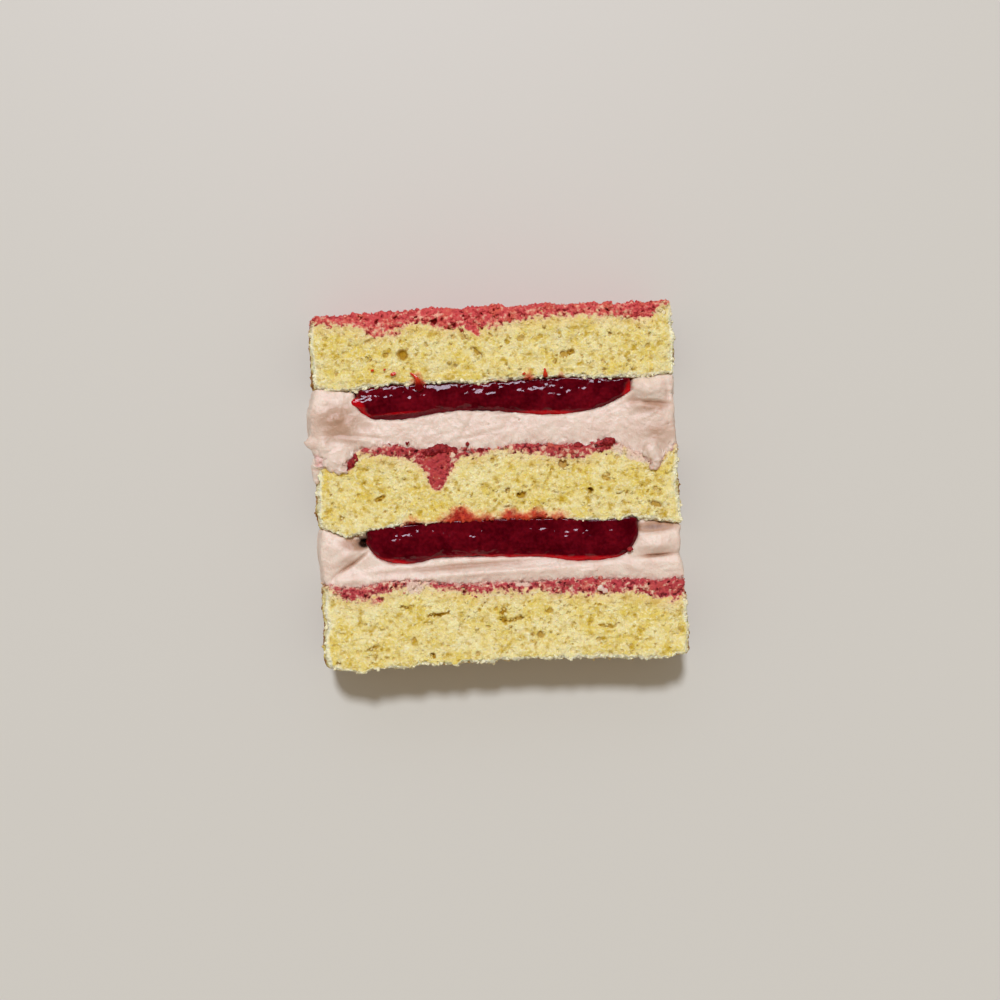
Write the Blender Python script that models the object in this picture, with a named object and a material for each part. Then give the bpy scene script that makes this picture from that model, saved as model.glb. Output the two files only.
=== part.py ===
"""A slice of tall raspberry layer cake, lying on one of its cut sides with the other cut face up.

The slice was cut across a small round cake, so its two cut faces are flat and its two ends are
stretches of the cake's round outside. The frame is metres with +Z up: +Y is the way up the cake,
from its bottom sponge to its top one, +X runs along the cut face, and Z = 0 is the lower cut face.
Lengths below are in millimetres, measured from the middle of the upper cut face.
"""

import math

import bmesh
import bpy
from mathutils import Vector, noise

MM = 0.001

# Driving dimensions of the slice: its thickness, half its width, the gap between two layers, and
# how far the cake's round outside bulges at each end
THICKNESS = 28.0
HALF_WIDTH = 50.4
GAP = 0.3
LEFT_BULGE = 2.4
RIGHT_BULGE = 1.0

# Unevenness: the crags on the ends, how rough two layers are along the seam that they share, and
# how far and over what length a layer wanders on the lower cut face
CRAG_HEIGHT = 1.1
CRAG_SIZE = 2.6
SHARED_ROUGHNESS = 0.6
BACK_DRIFT, DRIFT_LENGTH = 0.5, 11.0

# Columns of faces along X, shared by all layers so that neighbours meet face to face
COLUMNS = 40
END_COLUMNS = 2.5

# Height lines on the cut face, from the top of the cake to its bottom. Each is (x, y) points
# that a smooth curve runs through.
TOP_LINE = [(-50, 49.7), (-33, 50.1), (-10, 50.6), (12, 50.3), (35, 49.4), (50, 49.5)]
TOP_SOAK_LINE = [
    (-50, 48.3), (-40, 47.6), (-31, 46.1), (-22, 47.6), (-12, 45.8),
    (8, 47.2), (25, 47.2), (42, 46.0), (50, 47.8),
]
TOP_SPONGE_LINE = [
    (-50, 29.8), (-42, 28.6), (-30, 29.8), (0, 29.2), (12, 29.6), (28, 29.1), (42, 28.4), (50, 29.3),
]
UPPER_CREAM_LINE = [
    (-50, 11.4), (-44, 8.7), (-37, 12.8), (-25, 12.3), (-10, 10.5),
    (8, 11.6), (24, 10.4), (31, 11.2), (40, 6.9), (45, 5.2), (50, 9.3),
]
MIDDLE_SOAK_LINE = [
    (-50, 9.4), (-44, 7.0), (-37, 10.4), (-28, 10.0), (-18, 8.4), (-8, 8.9),
    (8, 9.2), (22, 7.5), (32, 8.7), (40, 4.8), (45, 3.5), (50, 7.4),
]
MIDDLE_SPONGE_LINE = [
    (-50, -9.7), (-44, -12.3), (-36, -10.6), (-20, -9.6), (10, -10.0), (30, -11.5), (37, -11.0),
    (50, -13.4),
]
LOWER_CREAM_LINE = [
    (-50, -25.2), (-44, -26.8), (-30, -25.1), (-10, -27.0), (12, -27.3), (30, -27.8), (44, -28.8),
    (50, -28.6),
]
BOTTOM_SOAK_LINE = [
    (-50, -27.4), (-43, -29.6), (-33, -27.5), (-15, -28.9), (5, -31.1),
    (11, -29.7), (25, -31.4), (38, -31.6), (47, -33.6), (50, -32.0),
]
BOTTOM_LINE = [
    (-50, -49.4), (-44, -50.2), (-30, -49.6), (0, -49.3), (20, -49.9), (42, -50.8), (50, -50.2),
]

# The undersides of the two jam fillings, from their left ends to their right ones
UPPER_JAM_LINE = [
    (-40, 25.6), (-37, 21.4), (-31, 20.2), (-23, 20.5), (-14, 21.8),
    (0, 21.2), (10, 19.9), (18, 19.2), (30, 20.8), (39, 25.0),
]
LOWER_JAM_LINE = [
    (-39, -14.5), (-35, -19.0), (-27, -20.7), (-18, -19.3), (0, -20.0),
    (12, -20.9), (20, -22.3), (30, -22.2), (36, -20.2), (39, -15.0),
]

# Crumb on a cut face: the size and height of its hills and of its lumps, the spacing of its open
# pores, what share of that a pore fills and its depth, and how deep it all sits
HILL_SIZE, HILL_HEIGHT = 9.0, 0.4
LUMP_SIZE, LUMP_HEIGHT = 2.9, 0.9
PORE_SPACING = (5.2, 4.4)
PORE_SHARE = 0.32
PORE_DEPTH = 1.1
CRUMB_SINK = 0.3

# Cream in the upper band: how deep its face sits, the length and height of its waves, and the
# swells above it: centre, radii and height
UPPER_CREAM_SINK = 1.1
UPPER_WAVES = (11.0, 0.5)
UPPER_SWELLS = [
    ((-46, 20), (6.5, 6.0), 1.9),
    ((-52, 15), (4.0, 3.0), 0.6),
    ((-38, 15), (9.0, 2.0), 1.0),
    ((43, 25), (4.5, 3.2), 1.6),
    ((10, 15), (28.0, 2.6), 0.8),
    ((46, 14), (6.0, 6.0), 0.9),
    ((44, 4.5), (3.0, 2.5), 1.4),
    ((-45, 9), (3.5, 2.5), 1.2),
]

# The same in the lower band: the rolled ridge and the dip over it, the two ends, and the hollows
# and the fold that shape those
LOWER_CREAM_SINK = 1.6
LOWER_WAVES = (13.0, 0.4)
LOWER_SWELLS = [
    ((0, -24.9), (60.0, 1.8), 1.6),
    ((-5, -21.0), (34.0, 1.3), -1.0),
    ((-48, -16.5), (5.5, 3.6), 1.7),
    ((44, -18.2), (4.0, 2.2), 1.5),
    ((44, -12.8), (6.5, 1.6), -1.6),
    ((-43, -12.6), (3.5, 1.5), -1.6),
    ((43, -21.9), (5.5, 0.8), -1.6),
]

# The slanting fold at the left end of the lower band, which falls by so much for each step right
LEFT_FOLD = ((-44, -20.5), (7.0, 0.9), -1.5)
LEFT_FOLD_SLOPE = 0.62

# The hole in the lower cream, at the jam's left end: centre and radii
AIR_POCKET = ((-39.6, -13.2), (2.4, 1.5, 4.5))

# The jam's face: how deep it sits, how much further at its rim, and its uneven swell
JAM_SINK = 0.9
JAM_RIM_DROP = 1.7
JAM_SWELL, JAM_SWELL_SIZE = 0.35, 7.0
JAM_COLUMNS = 30

# How far the cutter of the jam's bed stands above the cream, and out of both cut faces
BED_RISE = 2.5
BED_REACH = 5.0

# Seeds that keep the uneven relief of each kind of face apart
SEEDS = {"hills": 3, "lumps": 4, "upper_cream": 5, "lower_cream": 8, "ends": 11, "base": 17, "jam": 21}


def curve_through(points):
    """A function of x that runs smoothly through the points and stays level past their ends."""

    def slope(i):
        before, after = points[max(i - 1, 0)], points[min(i + 1, len(points) - 1)]
        return (after[1] - before[1]) / (after[0] - before[0])

    def height(x):
        x = min(max(x, points[0][0]), points[-1][0])
        i = max(k for k in range(len(points) - 1) if points[k][0] <= x)
        (x0, y0), (x1, y1) = points[i], points[i + 1]
        span = x1 - x0
        t = (x - x0) / span
        return (
            (1 + 2 * t) * (1 - t) ** 2 * y0
            + t * t * (3 - 2 * t) * y1
            + span * t * (1 - t) * ((1 - t) * slope(i) - t * slope(i + 1))
        )

    return height


def bell(x, y, centre, radii, height):
    """A round bump, or a dent where height is below zero, that fades out at about two radii."""
    across, up = (x - centre[0]) / radii[0], (y - centre[1]) / radii[1]
    return height * math.exp(-(across**2) - up**2)


def crag(x, y, z, size, seed):
    """Uneven relief from -1 to 1, with lumps of about the given size."""
    return noise.noise(Vector((x, y, z)) / size + Vector((seed, 2.7 * seed, 0.3)))


def crumb_face(x, y):
    """Relief of a cut sponge face: shallow hills with open pores torn into them."""
    hills = HILL_HEIGHT * crag(x, y, THICKNESS, HILL_SIZE, SEEDS["hills"])
    lumps = LUMP_HEIGHT * crag(x, y, THICKNESS, LUMP_SIZE, SEEDS["lumps"])
    nearest = noise.voronoi(Vector((x / PORE_SPACING[0], y / PORE_SPACING[1], 7.0)))[0][0]
    pore = PORE_DEPTH * max(0.0, 1 - nearest / PORE_SHARE)
    return hills + lumps - pore - CRUMB_SINK


def upper_cream_face(x, y):
    """Cream smeared over the cut face by the knife, thick and lobed at its left end."""
    swells = sum(bell(x, y, *swell) for swell in UPPER_SWELLS)
    length, height = UPPER_WAVES
    return swells + height * crag(x, y, 0, length, SEEDS["upper_cream"]) - UPPER_CREAM_SINK


def lower_cream_face(x, y):
    """Piped cream that slumped: a long rolled ridge under the jam and a fold at each end."""
    swells = sum(bell(x, y, *swell) for swell in LOWER_SWELLS)
    centre, radii, depth = LEFT_FOLD
    left_fold = bell(x, y + LEFT_FOLD_SLOPE * (x - centre[0]), centre, radii, depth)
    length, height = LOWER_WAVES
    waves = height * crag(x, y, 0, length, SEEDS["lower_cream"])
    return swells + left_fold + waves - LOWER_CREAM_SINK


def side_bulge(z, most):
    """How far the round outside of the cake stands beyond the upper cut face at height z."""
    t = min(max(z / THICKNESS, 0.0), 1.0)
    return most * (1 - ((t - 0.4) / 0.6) ** 2)


def box_shell(cells):
    """A closed unit box, from 0 to 1 each way, with its faces divided into the given cells."""
    bm = bmesh.new()
    bmesh.ops.create_cube(bm, size=1.0)
    bmesh.ops.translate(bm, verts=bm.verts, vec=(0.5, 0.5, 0.5))
    for axis, count in enumerate(cells):
        along = [
            e for e in bm.edges
            if abs(e.verts[0].co[axis] - e.verts[1].co[axis]) > 0.5
        ]
        if count > 1:
            bmesh.ops.subdivide_edges(bm, edges=along, cuts=count - 1, use_grid_fill=True)
    return bm


def add_object(name, bm, material):
    """Turns a mesh in millimetres into a named object in metres."""
    bmesh.ops.scale(bm, verts=bm.verts, vec=(MM, MM, MM))
    bmesh.ops.triangulate(bm, faces=bm.faces)
    bmesh.ops.recalc_face_normals(bm, faces=bm.faces)
    mesh = bpy.data.meshes.new(name)
    bm.to_mesh(mesh)
    bm.free()
    mesh.materials.append(material)
    obj = bpy.data.objects.new(name, mesh)
    bpy.context.scene.collection.objects.link(obj)
    return obj


def end_weights(u):
    """How near a column is to the left and right ends, each fading to 0 within a few columns."""
    near_left = max(0.0, 1 - u * COLUMNS / END_COLUMNS) ** 2
    near_right = max(0.0, 1 - (1 - u) * COLUMNS / END_COLUMNS) ** 2
    return near_left, near_right


def layer(name, lines, ends, rows, face, material, roughness):
    """A layer that runs right through the slice, between an upper and a lower height line.

    ends are functions of y: how far the layer's left and right ends stand beyond HALF_WIDTH.
    roughness scales the crags on the ends, and on the top or bottom where that is open air.
    """
    upper, lower = lines
    left, right = ends
    high, low = curve_through(upper), curve_through(lower)
    bm = box_shell((COLUMNS, *rows))
    for vert in bm.verts:
        u, v, w = vert.co
        x = HALF_WIDTH * (2 * u - 1)
        drift = BACK_DRIFT * (1 - w) * math.sin(x / DRIFT_LENGTH)
        top, bottom = high(x) + drift, low(x) + drift
        top -= 0 if upper is TOP_LINE else GAP / 2
        bottom += 0 if lower is BOTTOM_LINE else GAP / 2
        y = bottom + (top - bottom) * v
        z = w * THICKNESS

        # Beside a neighbour the ends of both layers keep one common shape
        from_neighbour = min(
            1.0 if upper is TOP_LINE else 1 - v,
            1.0 if lower is BOTTOM_LINE else v,
        )
        own = min(1.0, 3 * from_neighbour)
        rough = SHARED_ROUGHNESS + own * (roughness - SHARED_ROUGHNESS)
        near_left, near_right = end_weights(u)
        crags = rough * CRAG_HEIGHT * crag(x, y, z, CRAG_SIZE, SEEDS["ends"])
        x += near_right * (own * right(y) + side_bulge(z, RIGHT_BULGE) + crags)
        x -= near_left * (own * left(y) + side_bulge(z, LEFT_BULGE) + crags)

        if w == 1:
            z += face(x, y) - 0.5 * (near_left + near_right) * roughness
        open_top = v if upper is TOP_LINE else 0
        open_bottom = 1 - v if lower is BOTTOM_LINE else 0
        y += roughness * (open_top + open_bottom) * CRAG_HEIGHT * crag(x, z, y, CRAG_SIZE, SEEDS["base"])
        vert.co = (x, y, z)
    return add_object(name, bm, material)


def jam(name, line, top_line, ends, material, grow=0.0, rise=0.0):
    """A jam filling: a slab through the slice, with rounded ends and a domed, sticky face.

    grow and rise swell it into the cutter that makes its bed in the cream.
    """
    low, high = curve_through(line), curve_through(top_line)
    left, right = ends
    bm = box_shell((JAM_COLUMNS, 4, 3))
    for vert in bm.verts:
        u, v, w = vert.co
        angle = math.pi * (u - 0.5)
        even = 0.35 * math.sin(angle) + 0.65 * (2 * u - 1)
        x = (left + right) / 2 + even * ((right - left) / 2 + grow)
        drift = BACK_DRIFT * (1 - w) * math.sin(x / DRIFT_LENGTH)
        top = high(x) + drift - GAP / 2 + rise
        bottom = low(x) + drift - grow
        y = bottom + (top - bottom) * v
        z = w * THICKNESS
        if w == 1:
            rim = max(abs(2 * v - 1) ** 3, abs(2 * u - 1) ** 16)
            swell = JAM_SWELL * crag(x, y, 0, JAM_SWELL_SIZE, SEEDS["jam"])
            z += swell - JAM_SINK - JAM_RIM_DROP * rim
        if grow:
            z += BED_REACH * (2 * w - 1)
        vert.co = (x, y, z)
    return add_object(name, bm, material)


def pocket(name, centre, radii, material):
    """An oval cutter for a hole in the cream, sunk from the upper cut face."""
    bm = bmesh.new()
    bmesh.ops.create_icosphere(bm, subdivisions=2, radius=1.0)
    bmesh.ops.scale(bm, verts=bm.verts, vec=radii)
    bmesh.ops.translate(bm, verts=bm.verts, vec=(*centre, THICKNESS))
    return add_object(name, bm, material)


def cut(obj, cutter):
    """Subtracts the cutter, which stays in the scene as a hidden helper."""
    cutter.hide_render = True
    cutter.display_type = "WIRE"
    modifier = obj.modifiers.new(cutter.name, "BOOLEAN")
    modifier.operation = "DIFFERENCE"
    modifier.object = cutter


def finish_material(name, colour, roughness):
    """A matt or glossy food surface of one colour."""
    material = bpy.data.materials.new(name)
    material.use_nodes = True
    shader = material.node_tree.nodes["Principled BSDF"]
    shader.inputs["Base Color"].default_value = (*colour, 1.0)
    shader.inputs["Roughness"].default_value = roughness
    shader.inputs["Metallic"].default_value = 0.0
    return material


def straight_end(reach):
    """A layer's end that stands the same distance out all the way up."""
    return lambda y: reach


def upper_cream_left(y):
    """The upper cream's left end: a squeezed-out lobe with a pulled peak low down."""
    lobe = 1.4 * math.exp(-(((y - 22) / 7.0) ** 2))
    peak = 3.4 * math.exp(-(((y - 14.8) / 1.6) ** 2))
    return 0.5 + lobe + peak


def lower_cream_right(y):
    """The lower cream's right end: drawn in under the middle sponge, then full again."""
    return -2.4 * math.exp(-(((y + 14) / 3.0) ** 2)) - 1.6 * math.exp(-(((y + 21.5) / 1.5) ** 2))


def build():
    for obj in list(bpy.data.objects):
        bpy.data.objects.remove(obj)

    sponge = finish_material("sponge", (0.80, 0.62, 0.24), 0.9)
    soaked = finish_material("soaked_crumb", (0.55, 0.08, 0.08), 0.7)
    cream = finish_material("cream", (0.80, 0.60, 0.54), 0.45)
    jam_red = finish_material("jam", (0.14, 0.004, 0.010), 0.12)

    sponges = {
        "sponge_top": ((TOP_SOAK_LINE, TOP_SPONGE_LINE), (0.0, 0.3)),
        "sponge_middle": ((MIDDLE_SOAK_LINE, MIDDLE_SPONGE_LINE), (0.4, -0.2)),
        "sponge_bottom": ((BOTTOM_SOAK_LINE, BOTTOM_LINE), (0.2, 0.3)),
    }
    for name, (lines, (left, right)) in sponges.items():
        ends = straight_end(left), straight_end(right)
        layer(name, lines, ends, (7, 5), crumb_face, sponge, 1.0)

    soaks = {
        "soaked_crumb_top": ((TOP_LINE, TOP_SOAK_LINE), (0.0, -1.0), (2, 5)),
        "soaked_crumb_middle": ((UPPER_CREAM_LINE, MIDDLE_SOAK_LINE), (0.2, -0.4), (1, 2)),
        "soaked_crumb_bottom": ((LOWER_CREAM_LINE, BOTTOM_SOAK_LINE), (-0.2, 0.2), (1, 2)),
    }
    for name, (lines, (left, right), rows) in soaks.items():
        ends = straight_end(left), straight_end(right)
        layer(name, lines, ends, rows, crumb_face, soaked, 1.0)

    upper = layer(
        "cream_upper", (TOP_SPONGE_LINE, UPPER_CREAM_LINE),
        (upper_cream_left, straight_end(-0.4)), (7, 3), upper_cream_face, cream, 0.4,
    )
    lower = layer(
        "cream_lower", (MIDDLE_SPONGE_LINE, LOWER_CREAM_LINE),
        (straight_end(0.8), lower_cream_right), (7, 3), lower_cream_face, cream, 0.4,
    )

    fillings = (
        ("jam_upper", UPPER_JAM_LINE, TOP_SPONGE_LINE, (-39.4, 38.4), upper),
        ("jam_lower", LOWER_JAM_LINE, MIDDLE_SPONGE_LINE, (-38.2, 38.4), lower),
    )
    for name, line, top_line, ends, bed in fillings:
        jam(name, line, top_line, ends, jam_red)
        cut(bed, jam(name + "_bed", line, top_line, ends, jam_red, grow=GAP, rise=BED_RISE))
    cut(lower, pocket("air_pocket", *AIR_POCKET, jam_red))


build()
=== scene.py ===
"""The looks of a raspberry layer cake slice that lies on its cut side.

Every layer is a copy of its solid, evenly remeshed and then given the relief of the real food by
Geometry Nodes: torn crumb with pores, smeared cream, wet jam. The relief leaves attributes behind,
such as how deep a point lies in a pore, and the materials paint by those. Lengths in the formulas
are millimetres, measured from the middle of the upper cut face: +X along it, +Y up the cake.
"""

import math

import bpy
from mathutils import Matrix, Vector


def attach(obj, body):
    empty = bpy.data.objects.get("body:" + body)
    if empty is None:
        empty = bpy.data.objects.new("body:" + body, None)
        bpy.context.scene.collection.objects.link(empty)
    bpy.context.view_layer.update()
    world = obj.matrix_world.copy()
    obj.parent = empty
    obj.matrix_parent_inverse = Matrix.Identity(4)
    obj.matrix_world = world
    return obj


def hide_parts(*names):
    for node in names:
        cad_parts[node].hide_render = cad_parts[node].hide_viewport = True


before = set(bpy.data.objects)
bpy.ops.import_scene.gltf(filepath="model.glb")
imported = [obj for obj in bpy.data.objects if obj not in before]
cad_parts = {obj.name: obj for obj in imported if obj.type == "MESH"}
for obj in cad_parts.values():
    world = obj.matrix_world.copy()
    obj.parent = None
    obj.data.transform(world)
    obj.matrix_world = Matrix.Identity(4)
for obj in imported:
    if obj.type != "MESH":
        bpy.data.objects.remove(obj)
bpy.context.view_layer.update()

MM = 0.001
FULL_TURN = 6.3
FACE = 28.0
HALF_WIDTH = 50.4

# Size of a face on the hidden sides of each kind of layer, and of small pieces. What shows is
# divided further.
SPONGE_VOXEL = 0.92
SOAK_VOXEL = 0.68
CREAM_VOXEL = 0.84
JAM_VOXEL = 0.56
BERRY_VOXEL = 0.22
DRIP_VOXEL = 0.20

# Pores of the crumb, from the largest: how far apart, what share of that one fills, its depth,
# how many are missing and how softly its wall falls
PORES = [
    (5.2, 0.25, 1.20, 0.55, 0.10),
    (2.6, 0.34, 0.90, 0.35, 0.14),
    (1.4, 0.44, 0.75, 0.20, 0.22),
    (0.8, 0.50, 0.45, 0.10, 0.32),
]
SOAK_PORES = PORES + [(1.9, 0.42, 0.90, 0.25, 0.20)]

# Pores, cracks and slots that stand out in a cut face: centre, radii, turn in degrees and depth
SPONGE_MARKS = {
    "top": [
        ((-25.3, 38.2), (1.5, 1.4), 0, 1.7),
        ((-30.2, 38.4), (0.9, 0.8), 0, 1.0),
        ((22.0, 36.7), (1.1, 0.9), 0, 1.3),
        ((-7.8, 43.0), (2.4, 0.5), -56, 1.1),
        ((-4.2, 37.8), (2.2, 0.5), -50, 1.1),
        ((-34.0, 42.5), (1.8, 0.7), 10, 0.8),
        ((8.0, 41.0), (1.2, 0.8), 20, 1.0),
    ],
    "middle": [
        ((18.3, 5.0), (1.4, 1.4), 0, 1.8),
        ((6.0, -3.0), (1.3, 1.1), 0, 1.4),
        ((43.5, -7.5), (2.4, 0.9), -20, 1.2),
        ((-34.0, -2.0), (1.8, 0.8), 30, 1.2),
        ((30.0, 0.5), (1.2, 0.8), 0, 1.0),
    ],
    "bottom": [
        ((-19.5, -35.5), (3.0, 0.55), 5, 1.4),
        ((-28.5, -33.0), (1.8, 0.5), -10, 1.2),
        ((2.0, -38.0), (3.2, 0.5), 8, 1.1),
        ((28.0, -41.0), (2.6, 0.5), -8, 1.1),
        ((-38.0, -44.0), (1.8, 0.6), 15, 1.1),
        ((12.0, -36.0), (1.2, 0.8), 0, 1.1),
    ],
}

# Torn crumb: the size and height of its hills, its lumps and its fluff, and the random steps, each
# with a size and a length, that bend its pores and loosen its points
HILLS = (7.0, 0.35)
LUMPS = (2.8, 0.6)
FLUFF = (0.8, 0.22)
PORE_DRIFT = ((2.4, 0.7), (0.8, 0.2))
CRUMB_DRIFT = ((1.3, 0.55), (0.6, 0.35))
MARK_DRIFT = ((2.4, 0.4),)

# Loose crumbs on each square millimetre, their smallest and largest radius, and what bends them
CRUMBS_ON_SOAK = 0.16
CRUMBS_ON_RIM = 0.50
CRUMBS_ELSEWHERE = 0.03
CRUMB_RADII = (0.20, 0.66)
GRAIN_DRIFT = ((0.8, 0.45), (0.35, 0.18))

# What a ramp along the slice spans, and from its lowest to its highest reach
SPAN = 104.0
REACHES = 4.0

# How far a soaked layer and its sponge reach into each other, and how much crumb stands proud
PARTNER_OVERLAP = 1.3
CRUMB_SWELL = 0.10

# The distance to cream that is stored where a layer touches none
FAR_AWAY = 9.0

# The view straight down, as the camera of the photograph had it
CAMERA_HEIGHT = 450.0
VIEW_WIDTH = 281.44
VIEW_CENTRE = (-0.1, -4.1)
VIEW_TURN = 3.0
SENSOR = 36.0


class Value:
    """A node's output. Python's operators on it add Math or Vector Math nodes."""

    def __init__(self, graph, socket):
        self.graph = graph
        self.socket = socket

    def out(self, name):
        """Another output of the same node."""
        return Value(self.graph, self.socket.node.outputs[name])

    def __add__(self, other):
        return self.graph.maths("ADD", self, other)

    def __radd__(self, other):
        return self.graph.maths("ADD", other, self)

    def __sub__(self, other):
        return self.graph.maths("SUBTRACT", self, other)

    def __rsub__(self, other):
        return self.graph.maths("SUBTRACT", other, self)

    def __mul__(self, other):
        return self.graph.maths("MULTIPLY", self, other)

    def __rmul__(self, other):
        return self.graph.maths("MULTIPLY", other, self)

    def __truediv__(self, other):
        return self.graph.maths("DIVIDE", self, other)


class Graph:
    """A node tree that is written as expressions."""

    def __init__(self, tree):
        self.tree = tree

    def add(self, kind, settings=None, inputs=None, output=0):
        """Adds a node, sets its properties first and then its inputs, and returns one output."""
        node = self.tree.nodes.new(kind)
        for name, value in (settings or {}).items():
            if name == "stops":
                self.set_stops(node.color_ramp, value)
            else:
                setattr(node, name, value)
        for name, value in (inputs or {}).items():
            socket = node.inputs[name]
            if isinstance(value, Value):
                self.tree.links.new(value.socket, socket)
            elif socket.type == "VECTOR" and isinstance(value, (int, float)):
                socket.default_value = (value, value, value)
            else:
                socket.default_value = value
        return Value(self, node.outputs[output])

    def set_stops(self, ramp, stops):
        """Sets a ramp's stops, each a place and how light its grey is."""
        while len(ramp.elements) < len(stops):
            ramp.elements.new(1.0)
        for element, (place, grey) in zip(ramp.elements, stops):
            element.position = place
            element.color = (grey, grey, grey, 1)

    def maths(self, operation, first, second=0.0):
        """A Math node for numbers, or a Vector Math node where either side is a vector."""
        wide = any(
            isinstance(v, tuple) or isinstance(v, Value) and v.socket.type in ("VECTOR", "RGBA")
            for v in (first, second)
        )
        kind = "ShaderNodeVectorMath" if wide else "ShaderNodeMath"
        return self.add(kind, {"operation": operation}, {0: first, 1: second})

    def highest(self, first, second):
        """The larger of two numbers."""
        return self.maths("MAXIMUM", first, second)

    def ease(self, value, start, end):
        """0 up to start and 1 from end on, smooth between them."""
        settings = {"interpolation_type": "SMOOTHSTEP"}
        inputs = {"Value": value, "From Min": start, "From Max": end}
        return self.add("ShaderNodeMapRange", settings, inputs)

    def noise(self, place, size, detail=1.0):
        """Smooth noise from about -1 to 1, with lumps of the given size."""
        inputs = {"Vector": place, "Scale": 1 / size, "Detail": detail}
        return (self.add("ShaderNodeTexNoise", None, inputs, "Fac") - 0.5) * 2.4

    def drift(self, place, size):
        """A smooth random vector, each part from about -1 to 1."""
        inputs = {"Vector": place, "Scale": 1 / size, "Detail": 1.0}
        return (self.add("ShaderNodeTexNoise", None, inputs, "Color") - 0.5) * 2.4

    def drifts(self, place, steps, start=0.0):
        """The sum of such vectors on top of a start, each with its size and its length."""
        total = start
        for size, length in steps:
            total = total + self.drift(place, size) * length
        return total

    def stretched_noise(self, place, sizes, detail):
        """Smooth noise with lumps of three sizes, along x, y and z."""
        x, y, z = self.split(place)
        return self.noise(self.join(x / sizes[0], y / sizes[1], z / sizes[2]), 1.0, detail)

    def cells(self, place, size):
        """Scattered cell centres: the distance to the nearest one as a share of size."""
        return self.add("ShaderNodeTexVoronoi", None, {"Vector": place, "Scale": 1 / size})

    def split(self, vector):
        """The three parts of a vector."""
        parts = self.add("ShaderNodeSeparateXYZ", None, {0: vector}, "X")
        return parts, parts.out("Y"), parts.out("Z")

    def join(self, x, y, z):
        """A vector made of three parts."""
        return self.add("ShaderNodeCombineXYZ", None, {"X": x, "Y": y, "Z": z})

    def bell(self, x, y, centre, radii, height, turn=0.0):
        """A round bump or, below zero, a dent. Its long radius is turned by so many degrees."""
        along = Vector((math.cos(math.radians(turn)), math.sin(math.radians(turn))))
        dx, dy = x - centre[0], y - centre[1]
        u = (dx * along.x + dy * along.y) / radii[0]
        v = (dy * along.x - dx * along.y) / radii[1]
        return height * self.maths("POWER", math.exp(-1), u * u + v * v)

    def bells(self, places):
        """The sum of such bumps: centre, radii, turn in degrees and height."""
        total = 0.0
        for centre, radii, turn, height in places:
            total = self.bell(self.x, self.y, centre, radii, height, turn) + total
        return total

    def spot(self, x, y, centre, radii, turn=0.0):
        """1 inside an oval, fading to 0 outside it."""
        return self.ease(self.bell(x, y, centre, radii, 1.0, turn), 0.2, 0.6)


class Relief(Graph):
    """A Geometry Nodes tree that stores attributes on a piece and then moves its points."""

    def __init__(self, name):
        super().__init__(bpy.data.node_groups.new(name + "_relief", "GeometryNodeTree"))
        for way in ("INPUT", "OUTPUT"):
            self.tree.interface.new_socket("Geometry", in_out=way, socket_type="NodeSocketGeometry")
        self.geometry = self.add("NodeGroupInput")
        self.place = self.add("GeometryNodeInputPosition") * (1 / MM)
        self.x, self.y, self.z = self.split(self.place)
        self.normal = self.add("GeometryNodeInputNormal")

    def store(self, name, value):
        """Keeps a value at each point, for the material to paint by."""
        settings = {"data_type": "FLOAT", "domain": "POINT"}
        inputs = {"Geometry": self.geometry, "Name": name, "Value": value}
        self.geometry = self.add("GeometryNodeStoreNamedAttribute", settings, inputs)

    def stored(self, name):
        """A value that was stored on the piece."""
        return self.add("GeometryNodeInputNamedAttribute", {"data_type": "FLOAT"}, {"Name": name})

    def distance(self, node):
        """Millimetres from each point to the surface of a solid."""
        info = self.add("GeometryNodeObjectInfo", None, {"Object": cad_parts[node]}, "Geometry")
        near = self.add("GeometryNodeProximity", {"target_element": "FACES"}, {0: info}, "Distance")
        return near * (1 / MM)

    def move(self, offset):
        """Moves the points by so many millimetres."""
        inputs = {"Geometry": self.geometry, "Offset": offset * MM}
        self.geometry = self.add("GeometryNodeSetPosition", None, inputs)

    def facing_up(self, start, end):
        """1 where the surface faces up, fading to 0 at its sides."""
        return self.ease(self.split(self.normal)[2], start, end)

    def rest_on_floor(self):
        """Presses flat what would reach below the floor."""
        x, y, z = self.split(self.add("GeometryNodeInputPosition"))
        inputs = {"Geometry": self.geometry, "Position": self.join(x, y, self.highest(z, 0.0))}
        self.geometry = self.add("GeometryNodeSetPosition", None, inputs)

    def apply_to(self, piece):
        """Makes what the tree gives the piece's own mesh."""
        out = self.tree.nodes.new("NodeGroupOutput")
        self.tree.links.new(self.geometry.socket, out.inputs[0])
        modifier = piece.modifiers.new("relief", "NODES")
        modifier.node_group = self.tree
        apply_modifiers(piece)


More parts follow.
